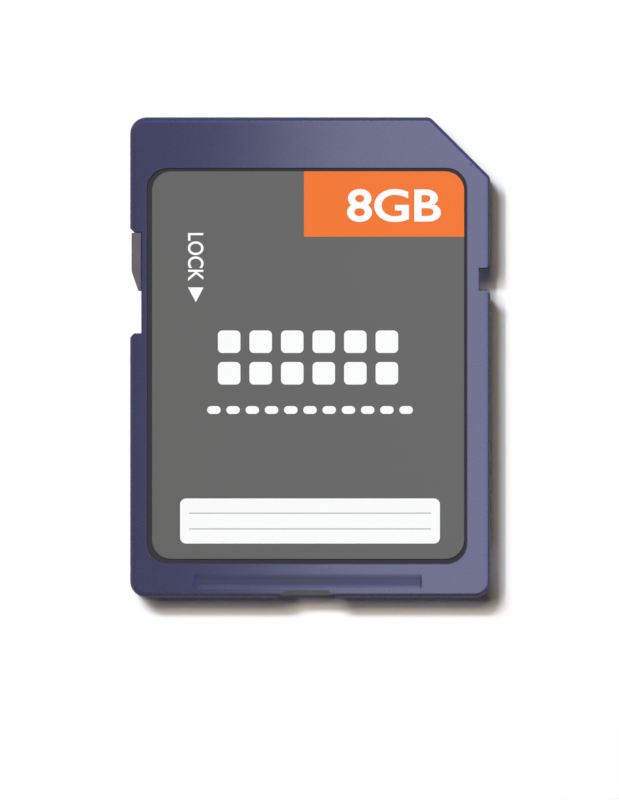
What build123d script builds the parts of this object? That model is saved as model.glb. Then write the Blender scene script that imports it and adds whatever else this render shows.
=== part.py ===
from build123d import *
import os

# A memory card in millimetres, seen from its label side: +X is right, +Y points to the contact end.
# It lies on its contact side with the label up, and the origin is the middle of its underside.

# Contact row, counted from the cut corner: one set-back contact, then the even row, then an end contact
row_contacts = 8
contact_pitch = 2.5
end_pitch = 1.7
contact_margin = 2.4
pad_width = 1.5
end_pad_width = 1.1
pad_length = 4.0
set_back_pad_length = 3.4
pad_thickness = 0.04
pad_radius = 0.2
pad_edge = 0.2
pad_recess = 0.7
window_gap = 0.15
window_margin = 0.3
window_radius = 0.25
window_ramp = 0.25

# Body outline
card_length = 32.0
corner_radius = 1.1
corner_cut = 4.0
cut_radius = 0.5
edge_fillet = 0.4
rear_fillet = 0.2
seam_chamfer = 0.06

# Guide rails along both sides, ending at the wider grip end
rail_width = 0.75
rail_step = 0.7
grip_length = 3.5
grip_radius = 0.35

# Walls, floor and weld tongue
side_wall = 0.55
leading_wall = 1.0
trailing_wall = 1.8
cavity_radius = 0.8
floor_thickness = 0.35
shelf_width = 0.6
rib_width = 0.6
rib_spacing = 6.4
comb_wall = 0.8
ceiling_wall = 0.22
tongue_width = 0.25
tongue_depth = 0.2
tongue_clearance = 0.03

# Board and what is soldered to it
board_thickness = 0.36
board_clearance = 0.1
flash_width = 17.0
flash_length = 12.0
flash_height = 0.62
controller_size = 6.0
controller_height = 0.55
controller_offset = 2.0
chip_chamfer = 0.08
chip_spacing = 2.0
dimple_radius = 0.4
dimple_inset = 1.0
dimple_depth = 0.05
passive_length = 1.0
passive_width = 0.5
capacitor_height = 0.5
resistor_height = 0.35
terminal_length = 0.22
terminal_swell = 0.02
passive_count = 4
capacitor_pitch = 1.4
resistor_pitch = 1.8
passive_gap = 0.8
headroom = 0.06

# Hold-down posts under the front cover
post_diameter = 0.9
post_inset = 1.5
post_back_inset = 0.9
post_gap = 0.25

# Label and its recess
label_left = 1.13
label_right = 1.59
label_top = 3.43
label_bottom = 2.27
recess_radius = 1.35
label_radius = 1.28
label_recess = 0.1
label_rim = 0.07
label_thickness = 0.07
label_gap = 0.25
label_shift_x = 0.095
label_shift_y = 0.06

# Finger groove and nail dent at the grip end
groove_length = 15.19
groove_width = 1.03
groove_radius = 0.18
groove_slope = 0.32
groove_end_slope = 0.06
groove_depth = 0.08
groove_offset = 1.08
groove_shift = -0.17
dent_length = 3.9
dent_depth = 0.5
dent_foot = 0.16
dent_slope = 0.53
dent_shift = -0.25

# Write lock on the left side and the plain notch on the right
lock_slot_start = 7.68
lock_slot_length = 6.72
slider_length = 3.85
slider_clearance = 0.03
slider_inset = 0.1
slider_edge = 0.12
nub_inset = 0.1
taper_length = 1.3
taper_depth = 0.45
slit_wall = 0.4
slit_height = 0.44
channel_width = 0.5
channel_height = 0.76
channel_wall = 0.5
notch_start = 10.07
notch_length = 1.45
cut_rim = 0.08
cut_chamfer = 0.28

# Heights of the stack, from the contact face up
board_bottom = pad_recess + pad_thickness
board_top = board_bottom + board_thickness
tallest_component = max(flash_height, controller_height, capacitor_height, resistor_height)
ceiling_height = board_top + tallest_component + headroom
card_thickness = ceiling_height + ceiling_wall + label_recess
parting_height = (rail_step + card_thickness) / 2

# Places in the plane of the card
root_two = 2 ** 0.5
card_width = (row_contacts - 1) * contact_pitch + end_pitch + 2 * contact_margin
side = card_width / 2
leading_edge = card_length / 2
trailing_edge = -card_length / 2
cut_line = side + leading_edge - corner_cut
cavity_side = side - rail_width - side_wall
cavity_front = leading_edge - leading_wall
cavity_back = trailing_edge + trailing_wall
cavity_cut = cavity_side + cavity_front - (cut_line - leading_wall * root_two)
lower_side = side - rail_width
grip_front = trailing_edge + grip_length

# Lock slot, slit and channel, from the left side inward
slot_floor = -side + rail_width
slot_front = leading_edge - lock_slot_start
slot_middle = slot_front - lock_slot_length / 2
channel_outer = slot_floor + slit_wall
channel_inner = channel_outer + channel_width
lock_wall = channel_inner + channel_wall
lock_wall_length = lock_slot_length + 2 * channel_wall
notch_middle = leading_edge - notch_start - notch_length / 2

# Contacts and their windows
set_back_x = side - contact_margin
row_x = [set_back_x - number * contact_pitch for number in range(1, row_contacts)]
row_x.append(row_x[-1] - end_pitch)
row_widths = [pad_width] * (row_contacts - 1) + [end_pad_width]
row_front = cavity_front - board_clearance - pad_edge
set_back_corner = set_back_x + pad_width / 2
set_back_front = cut_line - (leading_wall + board_clearance + pad_edge) * root_two - set_back_corner
row_window_back = row_front - pad_length - window_margin
set_back_window_back = set_back_front - set_back_pad_length - window_margin
window_width = pad_width + 2 * window_gap
row_windows = [(x - window_width / 2, x + window_width / 2) for x in row_x[:-2]]
shared_window_left = row_x[-1] - end_pad_width / 2 - window_gap
row_windows.append((shared_window_left, row_x[-2] + window_width / 2))

# Components on the board
post_x = cavity_side - post_inset
post_back = cavity_back + post_back_inset
flash_back = post_back + post_diameter / 2 + post_gap
flash_y = flash_back + flash_length / 2
controller_y = flash_back + flash_length + chip_spacing + controller_size / 2
capacitor_x = controller_offset - controller_size / 2 - passive_gap - passive_length / 2
resistor_y = controller_y + controller_size / 2 + passive_gap + passive_width / 2
first_passive = -(passive_count - 1) / 2

# Label recess, measured from the card's edges
recess_width = card_width - label_left - label_right
recess_length = card_length - label_top - label_bottom
recess_x = (label_left - label_right) / 2
recess_y = (label_bottom - label_top) / 2

os.makedirs("parts", exist_ok=True)

# Card outline with the cut corner
with BuildSketch() as card_outline:
    Rectangle(card_width, card_length)
    fillet(card_outline.vertices().sort_by_distance((side, leading_edge))[1:], corner_radius)
    chamfer(card_outline.vertices().sort_by_distance((side, leading_edge))[0], corner_cut)
    fillet(card_outline.vertices().sort_by_distance((side, leading_edge))[:2], cut_radius)

# Grip end, where the card is full width down to its underside
with BuildSketch() as grip_end:
    add(card_outline.sketch)
    with Locations((0, grip_front)):
        Rectangle(card_width, card_length, align=(Align.CENTER, Align.MIN), mode=Mode.SUBTRACT)

# Lower body: set in below the guide rails, up to the grip end
with BuildSketch() as lower_outline:
    with Locations((0, grip_front)):
        Rectangle(2 * lower_side, leading_edge - grip_front, align=(Align.CENTER, Align.MIN))
    chamfer(lower_outline.vertices().sort_by_distance((side, leading_edge))[0], corner_cut - rail_width)
    fillet(lower_outline.vertices().sort_by_distance((side, leading_edge))[:2], cut_radius)
    fillet(lower_outline.vertices().sort_by_distance((-side, leading_edge))[0], corner_radius)
    add(grip_end.sketch)
    inner_corners = [(-lower_side, grip_front), (lower_side, grip_front)]
    fillet([lower_outline.vertices().sort_by_distance(corner)[0] for corner in inner_corners], grip_radius)

# Inside of the two covers, with a thick wall on the left that holds the lock
with BuildSketch() as cavity:
    with Locations((0, (cavity_front + cavity_back) / 2)):
        Rectangle(2 * cavity_side, cavity_front - cavity_back)
    chamfer(cavity.vertices().sort_by_distance((side, leading_edge))[0], cavity_cut)
    fillet(cavity.vertices(), cavity_radius)
    with Locations((lock_wall, slot_middle)):
        wall_align = (Align.MAX, Align.CENTER)
        Rectangle(lock_wall + side, lock_wall_length, align=wall_align, mode=Mode.SUBTRACT)

# Weld tongue round the inside of the seam
with BuildSketch() as tongue:
    add(cavity.sketch)
    offset(amount=tongue_width, kind=Kind.INTERSECTION)
    add(cavity.sketch, mode=Mode.SUBTRACT)

# Contact windows, which run out past the leading edge
with BuildSketch() as windows:
    for left, right in row_windows:
        with Locations(((left + right) / 2, row_window_back)):
            RectangleRounded(right - left, card_length, window_radius, align=(Align.CENTER, Align.MIN))
    with Locations((set_back_x, set_back_window_back)):
        RectangleRounded(window_width, card_length, window_radius, align=(Align.CENTER, Align.MIN))

# Pockets in the floor behind the contacts, with ribs between them
pocket_front = min(row_window_back, set_back_window_back) - comb_wall
pocket_back = cavity_back + shelf_width
with BuildSketch() as pockets:
    with Locations((0, pocket_back)):
        pocket_width = 2 * (cavity_side - shelf_width)
        Rectangle(pocket_width, pocket_front - pocket_back, align=(Align.CENTER, Align.MIN))
    with Locations((lock_wall + shelf_width, slot_middle)):
        shelf_length = lock_wall_length + 2 * shelf_width
        Rectangle(lock_wall + side, shelf_length, align=(Align.MAX, Align.CENTER), mode=Mode.SUBTRACT)
    with GridLocations(rib_spacing, 0, 2, 1):
        Rectangle(rib_width, card_length, mode=Mode.SUBTRACT)
    with Locations((0, (pocket_front + pocket_back) / 2)):
        Rectangle(card_width, rib_width, mode=Mode.SUBTRACT)

# Openings in the side rails, right through both covers, with chamfered outer corners
with BuildSketch() as side_cuts:
    for edge, middle, length in ((-side, slot_middle, lock_slot_length), (side, notch_middle, notch_length)):
        with Locations((edge, middle)):
            Rectangle(2 * rail_width, length)
        with Locations((edge, middle - length / 2), (edge, middle + length / 2)):
            RegularPolygon(cut_chamfer, 4)

# Lock slit and channel, half in each cover
with BuildSketch() as lock_slit:
    with Locations((slot_floor, slot_middle)):
        Rectangle(channel_inner - slot_floor, lock_slot_length, align=(Align.MIN, Align.CENTER))
with BuildSketch() as lock_channel:
    with Locations((channel_outer, slot_middle)):
        Rectangle(channel_width, lock_slot_length, align=(Align.MIN, Align.CENTER))


def dent_section(depth):
    """Section of the nail dent where it is this deep: its ends slope out past the trailing edge."""
    inner_half = dent_length / 2 - dent_slope * depth / dent_depth
    outer_half = dent_length / 2 + dent_slope
    with BuildSketch() as section:
        with BuildLine():
            Polyline(
                (dent_shift - outer_half, trailing_edge - dent_depth),
                (dent_shift - inner_half, trailing_edge + depth),
                (dent_shift + inner_half, trailing_edge + depth),
                (dent_shift + outer_half, trailing_edge - dent_depth),
                close=True,
            )
        make_face()
    return section.sketch


# Rear cover: rail slab over the narrower lower body, with the contact comb
with BuildPart() as rear_shell:
    with BuildSketch(Plane.XY.offset(rail_step)):
        add(card_outline.sketch)
    extrude(amount=parting_height - rail_step)
    chamfer(rear_shell.faces().sort_by(Axis.Z)[-1].edges(), seam_chamfer)
    with BuildSketch():
        add(lower_outline.sketch)
    extrude(amount=rail_step)
    fillet(rear_shell.faces().sort_by(Axis.Z)[0].edges(), rear_fillet)
    # Cavity, tongue rebate and floor pockets
    with BuildSketch(Plane.XY.offset(board_bottom)):
        add(cavity.sketch)
    extrude(amount=parting_height - board_bottom, mode=Mode.SUBTRACT)
    with BuildSketch(Plane.XY.offset(parting_height)):
        add(cavity.sketch)
        offset(amount=tongue_width + tongue_clearance, kind=Kind.INTERSECTION)
    extrude(amount=-tongue_depth - tongue_clearance, mode=Mode.SUBTRACT)
    with BuildSketch(Plane.XY.offset(floor_thickness)):
        add(pockets.sketch)
    extrude(amount=board_bottom - floor_thickness, mode=Mode.SUBTRACT)
    # Contact windows up to the contact face, and on to the board inside the cavity
    with BuildSketch():
        add(windows.sketch)
    extrude(amount=pad_recess, mode=Mode.SUBTRACT)
    with BuildSketch(Plane.XY.offset(pad_recess)):
        add(windows.sketch)
        add(cavity.sketch, mode=Mode.INTERSECT)
    extrude(amount=pad_thickness, mode=Mode.SUBTRACT)
    # Lead-in ramps of the row windows
    for left, right in row_windows:
        with BuildSketch(Plane.YZ.offset(left)):
            with BuildLine():
                Polyline(
                    (leading_edge, pad_recess),
                    (leading_edge - window_ramp, pad_recess),
                    (leading_edge, pad_recess + window_ramp),
                    close=True,
                )
            make_face()
        extrude(amount=right - left, mode=Mode.SUBTRACT)
    # Lock slot, notch and foot of the nail dent
    with BuildSketch():
        add(side_cuts.sketch)
        add(dent_section(dent_foot))
    extrude(amount=parting_height, mode=Mode.SUBTRACT)
    with BuildSketch(Plane.XY.offset(parting_height)):
        add(lock_slit.sketch)
    extrude(amount=-slit_height / 2, mode=Mode.SUBTRACT)
    with BuildSketch(Plane.XY.offset(parting_height)):
        add(lock_channel.sketch)
    extrude(amount=-channel_height / 2, mode=Mode.SUBTRACT)
rear_shell.part.label = "rear_shell"
export_step(rear_shell.part, "parts/rear_shell.step")

# Front cover with the label recess, finger groove, weld tongue and hold-down posts
with BuildPart() as front_shell:
    with BuildSketch(Plane.XY.offset(parting_height)):
        add(card_outline.sketch)
    extrude(amount=card_thickness - parting_height)
    fillet(front_shell.faces().sort_by(Axis.Z)[-1].edges(), edge_fillet)
    chamfer(front_shell.faces().sort_by(Axis.Z)[0].edges(), seam_chamfer)
    with BuildSketch(Plane.XY.offset(card_thickness)):
        with Locations((recess_x, recess_y)):
            RectangleRounded(recess_width, recess_length, recess_radius)
    extrude(amount=-label_recess, mode=Mode.SUBTRACT)
    fillet(front_shell.edges(Select.LAST).group_by(Axis.Z)[-1], label_rim)
    # Finger groove with gently sloping sides and steep ends
    for depth, end_inset, inset in ((0, 0, 0), (groove_depth, groove_end_slope, groove_slope)):
        with BuildSketch(Plane.XY.offset(card_thickness - depth)):
            with Locations((groove_shift, trailing_edge + groove_offset)):
                groove_size = (groove_length - 2 * end_inset, groove_width - 2 * inset)
                RectangleRounded(*groove_size, groove_radius)
    loft(mode=Mode.SUBTRACT)
    # Cavity with its tongue and posts
    with BuildSketch(Plane.XY.offset(parting_height)):
        add(cavity.sketch)
    extrude(amount=ceiling_height - parting_height, mode=Mode.SUBTRACT)
    with BuildSketch(Plane.XY.offset(parting_height)):
        add(tongue.sketch)
    extrude(amount=-tongue_depth)
    with BuildSketch(Plane.XY.offset(ceiling_height)):
        with Locations(*[(x, y) for x in (-post_x, post_x) for y in (post_back, set_back_front)]):
            Circle(post_diameter / 2)
    extrude(amount=board_top - ceiling_height)
    # Lock slot and notch with rounded rims, and the nail dent, which leans in towards the top
    with BuildSketch(Plane.XY.offset(parting_height)):
        add(side_cuts.sketch)
    extrude(amount=card_thickness - parting_height, mode=Mode.SUBTRACT)
    fillet(front_shell.edges(Select.LAST).group_by(Axis.Z)[-1], cut_rim)
    for height, depth in ((parting_height, dent_foot), (card_thickness, dent_depth)):
        with BuildSketch(Plane.XY.offset(height)):
            add(dent_section(depth))
    loft(mode=Mode.SUBTRACT)
    with BuildSketch(Plane.XY.offset(parting_height)):
        add(lock_slit.sketch)
    extrude(amount=slit_height / 2, mode=Mode.SUBTRACT)
    with BuildSketch(Plane.XY.offset(parting_height)):
        add(lock_channel.sketch)
    extrude(amount=channel_height / 2, mode=Mode.SUBTRACT)
front_shell.part.label = "front_shell"
export_step(front_shell.part, "parts/front_shell.step")

# Lock slider: a finger nub in the slot, a stem through the slit and a head held in the channel
nub_outer = -side + slider_inset
nub_inner = slot_floor - slider_clearance
nub_height = card_thickness - rail_step - 2 * nub_inset
head_outer = channel_outer + slider_clearance
head_inner = channel_inner - slider_clearance
slider_front = slot_front - slider_clearance
slider_back = slider_front - slider_length
with BuildPart() as lock_slider:
    with BuildSketch(Plane.XZ.offset(-slider_front)):
        with Locations((nub_outer, parting_height)):
            Rectangle(nub_inner - nub_outer, nub_height, align=(Align.MIN, Align.CENTER))
        with Locations((nub_inner, parting_height)):
            stem_height = slit_height - 2 * slider_clearance
            Rectangle(head_inner - nub_inner, stem_height, align=(Align.MIN, Align.CENTER))
        with Locations((head_outer, parting_height)):
            head_height = channel_height - 2 * slider_clearance
            Rectangle(head_inner - head_outer, head_height, align=(Align.MIN, Align.CENTER))
    extrude(amount=slider_length)
    # The outer side slopes in towards the trailing end
    with BuildSketch(Plane.XY.offset(rail_step)):
        with BuildLine():
            Polyline(
                (nub_outer, slider_back + taper_length),
                (nub_outer + taper_depth, slider_back),
                (nub_outer, slider_back),
                close=True,
            )
        make_face()
    extrude(amount=card_thickness - rail_step, mode=Mode.SUBTRACT)
    outer_face = lock_slider.faces().sort_by(Axis.X)[0]
    fillet(outer_face.edges().filter_by(Axis.Y), slider_edge)
lock_slider.part.label = "lock_slider"
export_step(lock_slider.part, "parts/lock_slider.step")

# Circuit board, cut to the cavity with a notch for the lock wall
with BuildPart() as circuit_board:
    with BuildSketch(Plane.XY.offset(board_bottom)):
        add(cavity.sketch)
        offset(amount=-board_clearance, kind=Kind.INTERSECTION)
    extrude(amount=board_thickness)
circuit_board.part.label = "circuit_board"
export_step(circuit_board.part, "parts/circuit_board.step")

# Gold contacts on the underside of the board, numbered as on such cards
contacts = [(x, row_front, width, pad_length) for x, width in zip(row_x, row_widths)]
contacts.append((set_back_x, set_back_front, pad_width, set_back_pad_length))
for number, (x, front, width, length) in enumerate(contacts, start=1):
    with BuildPart() as contact_pad:
        with BuildSketch(Plane.XY.offset(pad_recess)):
            with Locations((x, front)):
                RectangleRounded(width, length, pad_radius, align=(Align.CENTER, Align.MAX))
        extrude(amount=pad_thickness)
    contact_pad.part.label = f"contact_pad_{number}"
    export_step(contact_pad.part, f"parts/contact_pad_{number}.step")

# Flash memory package
with BuildPart() as flash_chip:
    with BuildSketch(Plane.XY.offset(board_top)):
        with Locations((0, flash_y)):
            Rectangle(flash_width, flash_length)
    extrude(amount=flash_height)
    chamfer(flash_chip.faces().sort_by(Axis.Z)[-1].edges(), chip_chamfer)
    with BuildSketch(Plane.XY.offset(board_top + flash_height)):
        with Locations((-flash_width / 2 + dimple_inset, flash_y + flash_length / 2 - dimple_inset)):
            Circle(dimple_radius)
    extrude(amount=-dimple_depth, mode=Mode.SUBTRACT)
flash_chip.part.label = "flash_chip"
export_step(flash_chip.part, "parts/flash_chip.step")

# Controller package
with BuildPart() as controller_chip:
    with BuildSketch(Plane.XY.offset(board_top)):
        with Locations((controller_offset, controller_y)):
            Rectangle(controller_size, controller_size)
    extrude(amount=controller_height)
    chamfer(controller_chip.faces().sort_by(Axis.Z)[-1].edges(), chip_chamfer)
    controller_corner = controller_size / 2 - dimple_inset
    with BuildSketch(Plane.XY.offset(board_top + controller_height)):
        with Locations((controller_offset - controller_corner, controller_y + controller_corner)):
            Circle(dimple_radius)
    extrude(amount=-dimple_depth, mode=Mode.SUBTRACT)
controller_chip.part.label = "controller_chip"
export_step(controller_chip.part, "parts/controller_chip.step")

# Capacitors beside the controller and resistors ahead of it, each with a terminal at both ends
passives = []
for index in range(passive_count):
    step = first_passive + index
    capacitor_place = (capacitor_x, controller_y + step * capacitor_pitch)
    resistor_place = (controller_offset + step * resistor_pitch, resistor_y)
    passives.append((f"capacitor_{index + 1}", capacitor_place, capacitor_height))
    passives.append((f"resistor_{index + 1}", resistor_place, resistor_height))
terminal_spacing = passive_length - terminal_length
for name, place, height in passives:
    with BuildPart() as passive:
        with BuildSketch(Plane.XY.offset(board_top)):
            with Locations(place):
                Rectangle(passive_length, passive_width)
        extrude(amount=height - terminal_swell)
        with BuildSketch(Plane.XY.offset(board_top)):
            with Locations(place):
                with GridLocations(terminal_spacing, 0, 2, 1):
                    Rectangle(terminal_length, passive_width + 2 * terminal_swell)
        extrude(amount=height)
    passive.part.label = name
    export_step(passive.part, f"parts/{name}.step")

# Front label, laid in its recess
with BuildPart() as front_label:
    with BuildSketch(Plane.XY.offset(card_thickness - label_recess)):
        with Locations((recess_x + label_shift_x, recess_y + label_shift_y)):
            label_size = (recess_width - 2 * label_gap, recess_length - 2 * label_gap)
            RectangleRounded(*label_size, label_radius)
    extrude(amount=label_thickness)
front_label.part.label = "front_label"
export_step(front_label.part, "parts/front_label.step")
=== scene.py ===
import math

import bmesh
import bpy
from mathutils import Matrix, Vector


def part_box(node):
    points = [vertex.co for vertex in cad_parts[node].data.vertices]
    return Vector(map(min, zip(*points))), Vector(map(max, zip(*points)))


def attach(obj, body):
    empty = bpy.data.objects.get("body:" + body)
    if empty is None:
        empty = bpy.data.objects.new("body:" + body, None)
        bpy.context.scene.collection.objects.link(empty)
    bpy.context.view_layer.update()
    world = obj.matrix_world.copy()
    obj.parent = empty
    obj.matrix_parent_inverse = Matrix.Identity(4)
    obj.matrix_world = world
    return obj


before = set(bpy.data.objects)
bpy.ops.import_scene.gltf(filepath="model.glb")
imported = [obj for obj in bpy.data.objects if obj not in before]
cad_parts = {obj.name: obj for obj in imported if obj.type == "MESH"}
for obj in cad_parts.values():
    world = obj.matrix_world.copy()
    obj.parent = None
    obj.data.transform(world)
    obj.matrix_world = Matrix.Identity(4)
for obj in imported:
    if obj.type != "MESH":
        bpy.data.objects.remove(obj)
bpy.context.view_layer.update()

MM = 0.001

# The photograph's frame, in pixels, and where the card lies in it
FRAME_HEIGHT_PX = 800
FRAME_CENTRE_PX = (309.5, 400.0)
CARD_CENTRE_PX = (310.2, 357.3)
PX_PER_MM = 15.02

# Camera
LENS_MM = 300.0
SENSOR_MM = 36.0
CLIP_START = 0.01
CLIP_END = 10.0

# The label and the printed pieces on it: sizes, and places in the photograph
LABEL_CORNER = 1.28 * MM
INK_THICKNESS = 0.006 * MM
CORNER_STEPS = 10
FIELD_SIZE = (10.67 * MM, 4.35 * MM)
CAPACITY_PX = (394.0, 205.5)
CAPACITY_SIZE = (6.25 * MM, 2.2 * MM)
CAPACITY_WEIGHT = 0.02
LOCK_WORD_PX = (195.7, 257.0)
LOCK_WORD_SIZE = (3.2 * MM, 1.05 * MM)
LOCK_WORD_WEIGHT = 0.012
LOCK_WORD_TURN = -90
TEXT_RESOLUTION = 6
ARROW_PX = (195.8, 294.8)
ARROW_SIZE = (1.04 * MM, 0.99 * MM)
CELLS_PX = (308.0, 357.5)
CELL_ROWS = 2
CELL_COLUMNS = 6
CELL_SIZE = (1.5 * MM, 1.5 * MM)
CELL_RADIUS = 0.3 * MM
CELL_STEP = 2.1 * MM
DASHES_PX = (310.0, 410.0)
DASH_COUNT = 11
DASH_SIZE = (0.9 * MM, 0.52 * MM)
DASH_RADIUS = DASH_SIZE[1] / 2 * 0.99  # just under a half circle, so that no two points meet
DASH_STEP = 1.28 * MM
PANEL_PX = (310.0, 521.0)
PANEL_SIZE = (17.3 * MM, 3.0 * MM)
PANEL_RADIUS = 0.4 * MM
RULE_SIZE = (16.1 * MM, 0.07 * MM)
RULE_STEP = 1.05 * MM

# Blue plastic: colours, texture, the matt places on the front cover, and painted shade in the label recess
# and the groove
SHELL_BLUE = (0.0225, 0.0235, 0.068)
SHELL_BLUE_PALE = (0.0255, 0.0265, 0.074)
SHELL_GRAIN = 0.06 * MM
SHELL_CLOUDS = 2.5 * MM
SHELL_ROUGHNESS = (0.24, 0.3)
SHELL_SPECULAR = 0.5
SHELL_BUMP = 0.0008 * MM
# Painted shade: dark grey for the recess floor, which shows in the gap round the label
RECESS_PAINTED_SHADE = (0.042, 0.042, 0.047)
RECESS_ROUGHER = 0.65
RECESS_REACH = Vector((0.5 * MM, 0.5 * MM, 0.0))
RECESS_FLOOR_BAND = Vector((0.0, 0.0, 0.01 * MM))
RIM_ROUGHER = 0.5
RIM_HEIGHT = Vector((0.0, 0.0, 0.0893 * MM))
# Painted shade: the groove's dark colour, reached fully at its floor
GROOVE_PAINTED_SHADE = (0.008, 0.009, 0.026)
GROOVE_ROUGHER = 0.35
GROOVE_END_ROUGHER = 0.6
GROOVE_LEFT = -7.42 * MM
GROOVE_BOX = (Vector((-8.0 * MM, -15.5 * MM, 2.015 * MM)), Vector((8.0 * MM, -14.2 * MM, 2.1 * MM)))

# Label film and inks: colours, how dark the grain's dark side is, and texture
LABEL_GREY = (0.127, 0.126, 0.121)
LABEL_SHADE = 0.96
INK_WHITE = (0.93, 0.93, 0.92)
INK_WHITE_SHADE = 0.98
INK_ORANGE = (0.85, 0.181, 0.03)
INK_GREY = (0.42, 0.42, 0.42)
INK_SHADE = 0.97
FILM_GRAIN = 0.09 * MM
FILM_ROUGHNESS = (0.5, 0.6)
FILM_SPECULAR = 0.06
FILM_BUMP = 0.0006 * MM

# Grey plastic of the lock slider
SLIDER_GREY = (0.077, 0.066, 0.069)
SLIDER_GREY_PALE = (0.092, 0.079, 0.083)
SLIDER_GRAIN = 0.06 * MM
SLIDER_CLOUDS = 0.8 * MM
SLIDER_ROUGHNESS = (0.38, 0.5)
SLIDER_BUMP = 0.0015 * MM

# Gold of the contacts
GOLD = (0.83, 0.58, 0.22)
GOLD_PALE = (0.92, 0.68, 0.31)
GOLD_CLOUDS = 0.6 * MM
WIPE_WIDTH = 0.05 * MM
WIPE_STRETCH = (1.0, 0.04, 1.0)
WIPE_ROUGHNESS = (0.16, 0.36)
WIPE_BUMP = 0.0008 * MM

# Solder mask of the board
MASK_GREEN = (0.008, 0.045, 0.018)
MASK_GREEN_PALE = (0.016, 0.085, 0.034)
MASK_WEAVE = 0.12 * MM
MASK_POURS = 1.8 * MM
MASK_POUR_EDGE = (0.47, 0.53)
MASK_ROUGHNESS = (0.28, 0.4)
MASK_BUMP = 0.01 * MM

# Resin of the two chips
RESIN_BLACK = (0.012, 0.012, 0.013)
RESIN_SPECK = (0.035, 0.035, 0.037)
RESIN_GRAIN = 0.08 * MM
RESIN_SPECK_EDGE = (0.4, 0.75)
RESIN_ROUGHNESS = (0.5, 0.68)
RESIN_BUMP = 0.004 * MM

# Capacitors and resistors
CAPACITOR_BROWN = (0.28, 0.17, 0.09)
RESISTOR_BLACK = (0.025, 0.025, 0.027)
CERAMIC_PALER = 1.25
CERAMIC_GRAIN = 0.05 * MM
CERAMIC_ROUGHNESS = (0.3, 0.45)
CERAMIC_BUMP = 0.003 * MM
TIN = (0.62, 0.61, 0.59)
TERMINAL_LENGTH = 0.22 * MM

# Floor: white, dimmer in the card's reflections, with a faint warm glow that only the camera sees
FLOOR_HALF = 3.0
FLOOR_WHITE = (0.98, 0.98, 0.98)
FLOOR_REFLECTED = (0.7, 0.7, 0.7)
FLOOR_GLOW = (0.006, 0.003, 0.0, 1.0)

# World: white where it is seen, greyer in reflections, dim as light
WORLD_SEEN = (1.0, 1.0, 1.0)
WORLD_REFLECTED = (0.6, 0.6, 0.6)
WORLD_LIGHT = (0.012, 0.012, 0.012)

# Lamps: watts and colour come last in each row.
# A key covers a range of light directions, given as tangents to the left and up the frame.
KEY_HEIGHT = 2.0
KEYS = (
    ("side_key", (0.55, 0.63), (0.12, 0.89), 32.1, (1.08, 0.985, 0.935)),
    ("top_key", (-0.08, 0.7), (0.38, 0.62), 14.4, (1.25, 1.04, 0.71)),
    ("corner_key", (0.29, 0.85), (0.62, 0.77), 68.0, (0.85, 0.99, 1.16)),
)
# A sheen panel, given by its middle and its size in metres, only shows in reflections.
SHEEN_PANELS = (
    ("sheen", (0.0125, 0.0075, 0.042), (0.029, 0.105), 0.0316, (1.0, 1.02, 1.2)),
    ("side_sheen", (0.0785, 0.005, 0.042), (0.103, 0.13), 0.212, (0.52, 0.54, 1.0)),
    ("top_sheen", (0.0, 0.085, 0.1), (0.16, 0.08), 0.0624, (0.23, 0.26, 1.0)),
)


def card_place(pixel_x, pixel_y):
    """A point on the card's top, in metres, from its pixel in the photograph."""
    right = (pixel_x - CARD_CENTRE_PX[0]) / PX_PER_MM * MM
    up = (CARD_CENTRE_PX[1] - pixel_y) / PX_PER_MM * MM
    return right, up


# Node helpers

def new_material(name):
    """A new node material and what is used to build it: (material, nodes, links, shader)."""
    material = bpy.data.materials.new(name)
    material.use_nodes = True
    nodes = material.node_tree.nodes
    links = material.node_tree.links
    return material, nodes, links, nodes["Principled BSDF"]


def object_coordinates(nodes):
    """A socket with the surface's place in the object's own frame, in metres."""
    return nodes.new("ShaderNodeTexCoord").outputs["Object"]


def axes(nodes, links, coordinates):
    """The sockets X, Y and Z of the coordinates."""
    node = nodes.new("ShaderNodeSeparateXYZ")
    links.new(coordinates, node.inputs["Vector"])
    return node.outputs


def noise(nodes, links, coordinates, size, detail=2.0):
    """Noise whose grains are about size metres across."""
    node = nodes.new("ShaderNodeTexNoise")
    node.inputs["Scale"].default_value = 1.0 / size
    node.inputs["Detail"].default_value = detail
    links.new(coordinates, node.inputs["Vector"])
    return node.outputs["Fac"]


def stretched(nodes, links, coordinates, scale):
    """The coordinates, scaled along the axes: a small scale draws a pattern out."""
    node = nodes.new("ShaderNodeMapping")
    node.inputs["Scale"].default_value = scale
    links.new(coordinates, node.inputs["Vector"])
    return node.outputs["Vector"]


def remap(nodes, links, value, low, high, start=0.3, end=0.7):
    """The value, taken from the range start to end, which noise mostly fills, to the range low to high."""
    node = nodes.new("ShaderNodeMapRange")
    node.inputs["From Min"].default_value = start
    node.inputs["From Max"].default_value = end
    node.inputs["To Min"].default_value = low
    node.inputs["To Max"].default_value = high
    links.new(value, node.inputs["Value"])
    return node.outputs["Result"]


def mix_colour(nodes, links, factor, first, second):
    """A colour between first and second, each a colour or a socket."""
    node = nodes.new("ShaderNodeMix")
    node.data_type = "RGBA"
    links.new(factor, node.inputs["Factor"])
    for name, colour in (("A", first), ("B", second)):
        socket = next(s for s in node.inputs if s.name == name and s.type == "RGBA")
        if isinstance(colour, tuple):
            socket.default_value = (*colour, 1.0)
        else:
            links.new(colour, socket)
    return next(s for s in node.outputs if s.type == "RGBA")


def math_node(nodes, links, operation, first, second):
    """One arithmetic step on two values, each a number or a socket."""
    node = nodes.new("ShaderNodeMath")
    node.operation = operation
    for socket, value in zip(node.inputs, (first, second)):
        if isinstance(value, (int, float)):
            socket.default_value = value
        else:
            links.new(value, socket)
    return node.outputs["Value"]


def rougher(nodes, links, roughness, mask, amount):
    """The roughness, raised by the amount where the mask is 1."""
    more = math_node(nodes, links, "MULTIPLY", mask, amount)
    return math_node(nodes, links, "ADD", roughness, more)


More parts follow.
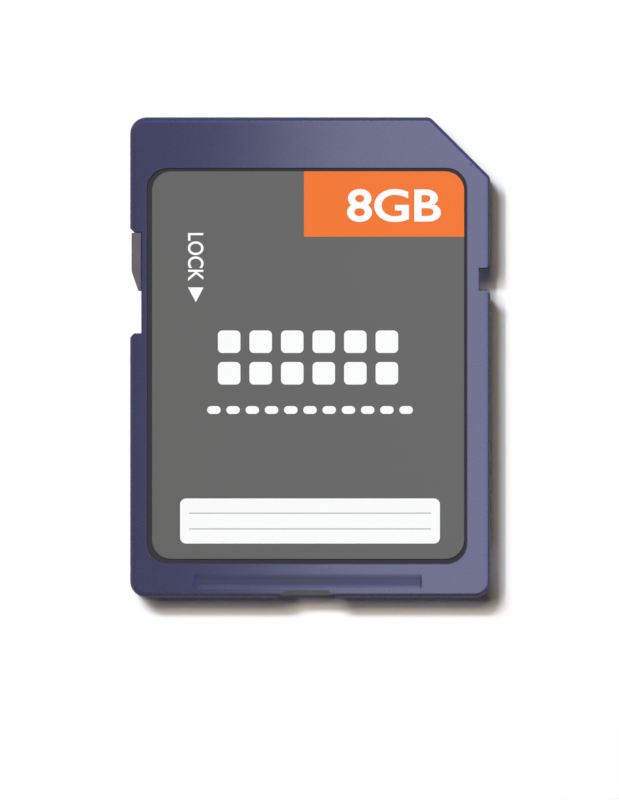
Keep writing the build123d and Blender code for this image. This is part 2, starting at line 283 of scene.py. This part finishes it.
def bump(nodes, links, shader, height, depth):
    """Bump on the shader from a height between 0 and 1, depth metres deep."""
    node = nodes.new("ShaderNodeBump")
    node.inputs["Distance"].default_value = depth
    links.new(height, node.inputs["Height"])
    links.new(node.outputs["Normal"], shader.inputs["Normal"])


def inside_box(nodes, links, coordinates, low, high):
    """1 where the surface lies between two corners of a box, else 0."""
    split = axes(nodes, links, coordinates)
    inside = 1.0
    for axis, start, end in zip("XYZ", low, high):
        above = math_node(nodes, links, "GREATER_THAN", split[axis], start)
        below = math_node(nodes, links, "LESS_THAN", split[axis], end)
        inside = math_node(nodes, links, "MULTIPLY", inside, above)
        inside = math_node(nodes, links, "MULTIPLY", inside, below)
    return inside


# Materials

def shell_plastic(name, recess_box=None, groove_box=None):
    """Moulded blue plastic with a fine texture.

    The label recess floor is painted dark as shade, and matt, and its rim is matt. The groove is
    painted darker towards its floor as shade, and rougher there, and its left end is matt.
    """
    material, nodes, links, shader = new_material(name)
    coordinates = object_coordinates(nodes)
    grain = noise(nodes, links, coordinates, SHELL_GRAIN)
    clouds = noise(nodes, links, coordinates, SHELL_CLOUDS)
    tint = remap(nodes, links, clouds, 0.0, 1.0)
    colour = mix_colour(nodes, links, tint, SHELL_BLUE, SHELL_BLUE_PALE)
    roughness = remap(nodes, links, grain, *SHELL_ROUGHNESS)
    if recess_box:
        recess = inside_box(nodes, links, coordinates, *recess_box)
        # Painted shade: the recess floor in the gap round the label is coloured dark grey
        colour = mix_colour(nodes, links, recess, colour, RECESS_PAINTED_SHADE)
        roughness = rougher(nodes, links, roughness, recess, RECESS_ROUGHER)
        specular = remap(nodes, links, recess, SHELL_SPECULAR, 0.0, 0.0, 1.0)
        links.new(specular, shader.inputs["Specular IOR Level"])
        rim = inside_box(nodes, links, coordinates, recess_box[0], recess_box[1] + RIM_HEIGHT)
        roughness = rougher(nodes, links, roughness, rim, RIM_ROUGHER)
    if groove_box:
        groove = inside_box(nodes, links, coordinates, *groove_box)
        split = axes(nodes, links, coordinates)
        depth = remap(nodes, links, split["Z"], 1.0, 0.0, groove_box[0].z, groove_box[1].z)
        left = math_node(nodes, links, "LESS_THAN", split["X"], GROOVE_LEFT)
        end = math_node(nodes, links, "MULTIPLY", groove, left)
        along = math_node(nodes, links, "SUBTRACT", groove, end)
        groove = math_node(nodes, links, "MULTIPLY", along, depth)
        # Painted shade: the colour darkens towards the groove's floor
        colour = mix_colour(nodes, links, groove, colour, GROOVE_PAINTED_SHADE)
        roughness = rougher(nodes, links, roughness, groove, GROOVE_ROUGHER)
        roughness = rougher(nodes, links, roughness, end, GROOVE_END_ROUGHER)
    links.new(colour, shader.inputs["Base Color"])
    links.new(roughness, shader.inputs["Roughness"])
    bump(nodes, links, shader, grain, SHELL_BUMP)
    return material


def film(name, colour, shade):
    """Satin label film or ink: an even colour with a very fine grain."""
    material, nodes, links, shader = new_material(name)
    coordinates = object_coordinates(nodes)
    grain = noise(nodes, links, coordinates, FILM_GRAIN, detail=3.0)
    dark = tuple(channel * shade for channel in colour)
    tint = remap(nodes, links, grain, 0.0, 1.0)
    links.new(mix_colour(nodes, links, tint, dark, colour), shader.inputs["Base Color"])
    links.new(remap(nodes, links, grain, *FILM_ROUGHNESS), shader.inputs["Roughness"])
    shader.inputs["Specular IOR Level"].default_value = FILM_SPECULAR
    bump(nodes, links, shader, grain, FILM_BUMP)
    return material


def slider_plastic():
    """Grey moulded plastic of the lock slider."""
    material, nodes, links, shader = new_material("slider_plastic")
    coordinates = object_coordinates(nodes)
    grain = noise(nodes, links, coordinates, SLIDER_GRAIN)
    clouds = noise(nodes, links, coordinates, SLIDER_CLOUDS)
    tint = remap(nodes, links, clouds, 0.0, 1.0)
    colour = mix_colour(nodes, links, tint, SLIDER_GREY, SLIDER_GREY_PALE)
    links.new(colour, shader.inputs["Base Color"])
    links.new(remap(nodes, links, grain, *SLIDER_ROUGHNESS), shader.inputs["Roughness"])
    bump(nodes, links, shader, grain, SLIDER_BUMP)
    return material


def contact_gold():
    """Gold plate with fine wipe marks along the card."""
    material, nodes, links, shader = new_material("contact_gold")
    coordinates = object_coordinates(nodes)
    drawn_out = stretched(nodes, links, coordinates, WIPE_STRETCH)
    wipes = noise(nodes, links, drawn_out, WIPE_WIDTH, detail=3.0)
    clouds = noise(nodes, links, coordinates, GOLD_CLOUDS)
    tint = remap(nodes, links, clouds, 0.0, 1.0)
    links.new(mix_colour(nodes, links, tint, GOLD, GOLD_PALE), shader.inputs["Base Color"])
    shader.inputs["Metallic"].default_value = 1.0
    links.new(remap(nodes, links, wipes, *WIPE_ROUGHNESS), shader.inputs["Roughness"])
    bump(nodes, links, shader, wipes, WIPE_BUMP)
    return material


def board_mask():
    """Green solder mask with the faint relief of what lies under it."""
    material, nodes, links, shader = new_material("board_mask")
    coordinates = object_coordinates(nodes)
    weave = noise(nodes, links, coordinates, MASK_WEAVE)
    pours = noise(nodes, links, coordinates, MASK_POURS, detail=0.0)
    tint = remap(nodes, links, pours, 0.0, 1.0, *MASK_POUR_EDGE)
    colour = mix_colour(nodes, links, tint, MASK_GREEN, MASK_GREEN_PALE)
    links.new(colour, shader.inputs["Base Color"])
    links.new(remap(nodes, links, weave, *MASK_ROUGHNESS), shader.inputs["Roughness"])
    bump(nodes, links, shader, tint, MASK_BUMP)
    return material


def chip_resin():
    """Black moulding resin with a speckle of filler."""
    material, nodes, links, shader = new_material("chip_resin")
    coordinates = object_coordinates(nodes)
    speckle = noise(nodes, links, coordinates, RESIN_GRAIN, detail=4.0)
    tint = remap(nodes, links, speckle, 0.0, 1.0, *RESIN_SPECK_EDGE)
    links.new(mix_colour(nodes, links, tint, RESIN_BLACK, RESIN_SPECK), shader.inputs["Base Color"])
    links.new(remap(nodes, links, speckle, *RESIN_ROUGHNESS), shader.inputs["Roughness"])
    bump(nodes, links, shader, speckle, RESIN_BUMP)
    return material


def passive_ceramic(name, body, low, high):
    """A soldered chip component along X: ceramic between tinned ends, which lie outside low and high."""
    material, nodes, links, shader = new_material(name)
    coordinates = object_coordinates(nodes)
    grain = noise(nodes, links, coordinates, CERAMIC_GRAIN, detail=3.0)
    split = axes(nodes, links, coordinates)
    after = math_node(nodes, links, "GREATER_THAN", split["X"], low)
    before = math_node(nodes, links, "LESS_THAN", split["X"], high)
    middle = math_node(nodes, links, "MULTIPLY", after, before)
    pale = tuple(channel * CERAMIC_PALER for channel in body)
    tint = remap(nodes, links, grain, 0.0, 1.0)
    ceramic = mix_colour(nodes, links, tint, body, pale)
    links.new(mix_colour(nodes, links, middle, TIN, ceramic), shader.inputs["Base Color"])
    links.new(math_node(nodes, links, "SUBTRACT", 1.0, middle), shader.inputs["Metallic"])
    links.new(remap(nodes, links, grain, *CERAMIC_ROUGHNESS), shader.inputs["Roughness"])
    bump(nodes, links, shader, grain, CERAMIC_BUMP)
    return material


def floor_paint():
    """Matt white that is dimmer in reflections and glows faintly where the camera sees it."""
    material, nodes, links, shader = new_material("floor")
    path = nodes.new("ShaderNodeLightPath")
    colour = mix_colour(nodes, links, path.outputs["Is Glossy Ray"], FLOOR_WHITE, FLOOR_REFLECTED)
    links.new(colour, shader.inputs["Base Color"])
    shader.inputs["Roughness"].default_value = 1.0
    shader.inputs["Specular IOR Level"].default_value = 0.0
    shader.inputs["Emission Color"].default_value = FLOOR_GLOW
    links.new(path.outputs["Is Camera Ray"], shader.inputs["Emission Strength"])
    return material


def dress(node, material):
    """Gives a CAD node its material."""
    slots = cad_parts[node].data.materials
    slots.clear()
    slots.append(material)


# Printed pieces

def rounded_rectangle(centre, size, radii):
    """Outline of a rectangle, with a radius for each corner.

    The corners come in the order right top, left top, left bottom, right bottom.
    """
    half_width, half_height = size[0] / 2, size[1] / 2
    signs = ((1, 1), (-1, 1), (-1, -1), (1, -1))
    points = []
    for quarter, ((across, up), radius) in enumerate(zip(signs, radii)):
        corner_x = centre[0] + across * (half_width - radius)
        corner_y = centre[1] + up * (half_height - radius)
        count = CORNER_STEPS if radius else 0
        for step in range(count + 1):
            angle = math.radians(90 * quarter + 90 * step / max(count, 1))
            points.append((corner_x + radius * math.cos(angle), corner_y + radius * math.sin(angle)))
    return points


def place_print(name, mesh, material):
    """A printed piece from its mesh, riding on the card."""
    mesh.materials.clear()
    mesh.materials.append(material)
    piece = bpy.data.objects.new(name, mesh)
    bpy.context.scene.collection.objects.link(piece)
    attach(piece, "card")


def printed(name, outlines, base, material):
    """Closed plates of ink with these outlines, lying on the height base."""
    shape = bmesh.new()
    for outline in outlines:
        low = [shape.verts.new((x, y, base)) for x, y in outline]
        high = [shape.verts.new((x, y, base + INK_THICKNESS)) for x, y in outline]
        shape.faces.new(list(reversed(low)))
        shape.faces.new(high)
        for index in range(len(outline)):
            following = (index + 1) % len(outline)
            shape.faces.new((low[index], low[following], high[following], high[index]))
    mesh = bpy.data.meshes.new(name)
    shape.to_mesh(mesh)
    shape.free()
    place_print(name, mesh, material)


def lettering(name, words, size, weight, middle, turn, base, material):
    """Words as closed plates of ink, lying on the height base.

    The size is their length and height, the weight thickens their strokes, and the turn is in degrees.
    """
    text = bpy.data.curves.new(name + "_text", "FONT")
    text.body = words
    text.align_x = "CENTER"
    text.align_y = "CENTER"
    text.size = 1.0
    text.extrude = 0.5
    text.offset = weight
    text.resolution_u = TEXT_RESOLUTION
    holder = bpy.data.objects.new(name + "_text", text)
    bpy.context.scene.collection.objects.link(holder)
    graph = bpy.context.evaluated_depsgraph_get()
    mesh = bpy.data.meshes.new_from_object(holder.evaluated_get(graph))
    bpy.data.objects.remove(holder)
    bpy.data.curves.remove(text)
    places = [vertex.co.copy() for vertex in mesh.vertices]
    low = Vector(tuple(min(place[axis] for place in places) for axis in range(3)))
    high = Vector(tuple(max(place[axis] for place in places) for axis in range(3)))
    centre = (low + high) / 2
    scale_along, scale_up = size[0] / (high.x - low.x), size[1] / (high.y - low.y)
    cosine, sine = math.cos(math.radians(turn)), math.sin(math.radians(turn))
    for vertex, place in zip(mesh.vertices, places):
        across, up = (place.x - centre.x) * scale_along, (place.y - centre.y) * scale_up
        vertex.co.x = middle[0] + across * cosine - up * sine
        vertex.co.y = middle[1] + across * sine + up * cosine
        vertex.co.z = base + (INK_THICKNESS if place.z > centre.z else 0.0)
    place_print(name, mesh, material)


def softbox(name, place, size, watts, colour):
    """A rectangular area light at place, facing straight down."""
    lamp = bpy.data.lights.new(name, "AREA")
    lamp.shape = "RECTANGLE"
    lamp.size, lamp.size_y = size
    lamp.energy = watts
    lamp.color = colour
    holder = bpy.data.objects.new(name, lamp)
    holder.location = place
    holder.visible_camera = False
    bpy.context.scene.collection.objects.link(holder)
    return holder


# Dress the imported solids
_, shell_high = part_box("front_shell")
label_low, label_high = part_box("front_label")
recess_floor_high = Vector((label_high.x, label_high.y, label_low.z))
recess_margin = RECESS_REACH + RECESS_FLOOR_BAND
recess_box = (label_low - recess_margin, recess_floor_high + recess_margin)
dress("front_shell", shell_plastic("front_plastic", recess_box, GROOVE_BOX))
dress("rear_shell", shell_plastic("rear_plastic"))
dress("front_label", film("label_film", LABEL_GREY, LABEL_SHADE))
dress("lock_slider", slider_plastic())
dress("circuit_board", board_mask())
resin = chip_resin()
dress("flash_chip", resin)
dress("controller_chip", resin)
gold = contact_gold()
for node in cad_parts:
    if node.startswith("contact_pad"):
        dress(node, gold)
    if node.startswith(("capacitor", "resistor")):
        low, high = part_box(node)
        body = CAPACITOR_BROWN if node.startswith("capacitor") else RESISTOR_BLACK
        ends = (low.x + TERMINAL_LENGTH, high.x - TERMINAL_LENGTH)
        dress(node, passive_ceramic(node + "_ceramic", body, *ends))

# Print on the label: the field with its number, and the lock's word and arrow
white_ink = film("white_ink", INK_WHITE, INK_WHITE_SHADE)
orange_ink = film("orange_ink", INK_ORANGE, INK_SHADE)
ink_base = label_high.z
second_base = ink_base + INK_THICKNESS
field_middle = (label_high.x - FIELD_SIZE[0] / 2, label_high.y - FIELD_SIZE[1] / 2)
field = rounded_rectangle(field_middle, FIELD_SIZE, (LABEL_CORNER, 0, 0, 0))
printed("orange_field", [field], ink_base, orange_ink)
number_middle = card_place(*CAPACITY_PX)
lettering("capacity", "8GB", CAPACITY_SIZE, CAPACITY_WEIGHT, number_middle, 0, second_base, white_ink)
word_middle = card_place(*LOCK_WORD_PX)
lettering(
    "lock_word", "LOCK", LOCK_WORD_SIZE, LOCK_WORD_WEIGHT, word_middle, LOCK_WORD_TURN, ink_base, white_ink
)
arrow_x, arrow_y = card_place(*ARROW_PX)
arrow_back = arrow_y + ARROW_SIZE[1] / 2
arrow = [
    (arrow_x - ARROW_SIZE[0] / 2, arrow_back),
    (arrow_x, arrow_back - ARROW_SIZE[1]),
    (arrow_x + ARROW_SIZE[0] / 2, arrow_back),
]
printed("lock_arrow", [arrow], ink_base, white_ink)

# Rows of squares, a dashed rule and a write-on panel with fine ruled lines
cells_x, cells_y = card_place(*CELLS_PX)
cells = []
for row in range(CELL_ROWS):
    for column in range(CELL_COLUMNS):
        across = (column - (CELL_COLUMNS - 1) / 2) * CELL_STEP
        up = (row - (CELL_ROWS - 1) / 2) * CELL_STEP
        cells.append(rounded_rectangle((cells_x + across, cells_y + up), CELL_SIZE, [CELL_RADIUS] * 4))
printed("cell_marks", cells, ink_base, white_ink)
dash_x, dash_y = card_place(*DASHES_PX)
dashes = []
for column in range(DASH_COUNT):
    centre = (dash_x + (column - (DASH_COUNT - 1) / 2) * DASH_STEP, dash_y)
    dashes.append(rounded_rectangle(centre, DASH_SIZE, [DASH_RADIUS] * 4))
printed("dash_marks", dashes, ink_base, white_ink)
panel_x, panel_y = card_place(*PANEL_PX)
panel = rounded_rectangle((panel_x, panel_y), PANEL_SIZE, [PANEL_RADIUS] * 4)
printed("write_on_panel", [panel], ink_base, white_ink)
rules = []
for side in (-1, 1):
    centre = (panel_x, panel_y + side * RULE_STEP / 2)
    rules.append(rounded_rectangle(centre, RULE_SIZE, [0] * 4))
grey_ink = film("grey_ink", INK_GREY, INK_SHADE)
printed("panel_rules", rules, second_base, grey_ink)

# Floor
floor_mesh = bpy.data.meshes.new("floor")
floor_corners = [
    (-FLOOR_HALF, -FLOOR_HALF, 0.0),
    (FLOOR_HALF, -FLOOR_HALF, 0.0),
    (FLOOR_HALF, FLOOR_HALF, 0.0),
    (-FLOOR_HALF, FLOOR_HALF, 0.0),
]
floor_mesh.from_pydata(floor_corners, [], [(0, 1, 2, 3)])
floor = bpy.data.objects.new("floor", floor_mesh)
bpy.context.scene.collection.objects.link(floor)
floor_mesh.materials.append(floor_paint())

# World
world = bpy.data.worlds.new("studio")
bpy.context.scene.world = world
world.use_nodes = True
nodes, links = world.node_tree.nodes, world.node_tree.links
path = nodes.new("ShaderNodeLightPath")
straight, through = path.outputs["Is Camera Ray"], path.outputs["Is Transmission Ray"]
seen = math_node(nodes, links, "MAXIMUM", straight, through)
light = mix_colour(nodes, links, path.outputs["Is Glossy Ray"], WORLD_LIGHT, WORLD_REFLECTED)
links.new(mix_colour(nodes, links, seen, light, WORLD_SEEN), nodes["Background"].inputs["Color"])

# Lamps
for name, left, up, watts, colour in KEYS:
    place = (-sum(left) / 2 * KEY_HEIGHT, sum(up) / 2 * KEY_HEIGHT, KEY_HEIGHT)
    size = ((left[1] - left[0]) * KEY_HEIGHT, (up[1] - up[0]) * KEY_HEIGHT)
    key = softbox(name, place, size, watts, colour)
    key.visible_glossy = False
for name, place, size, watts, colour in SHEEN_PANELS:
    gloss = softbox(name, place, size, watts, colour)
    gloss.visible_diffuse = False

# Camera, straight above the card
camera_data = bpy.data.cameras.new("camera")
camera_data.sensor_width = SENSOR_MM
camera_data.lens = LENS_MM
camera_data.clip_start = CLIP_START
camera_data.clip_end = CLIP_END
camera = bpy.data.objects.new("camera", camera_data)
bpy.context.scene.collection.objects.link(camera)
view_height = FRAME_HEIGHT_PX / PX_PER_MM * MM
look_x, look_y = card_place(*FRAME_CENTRE_PX)
camera.location = (look_x, look_y, shell_high.z + view_height * LENS_MM / SENSOR_MM)
bpy.context.scene.camera = camera

bpy.context.scene.view_settings.view_transform = "Standard"
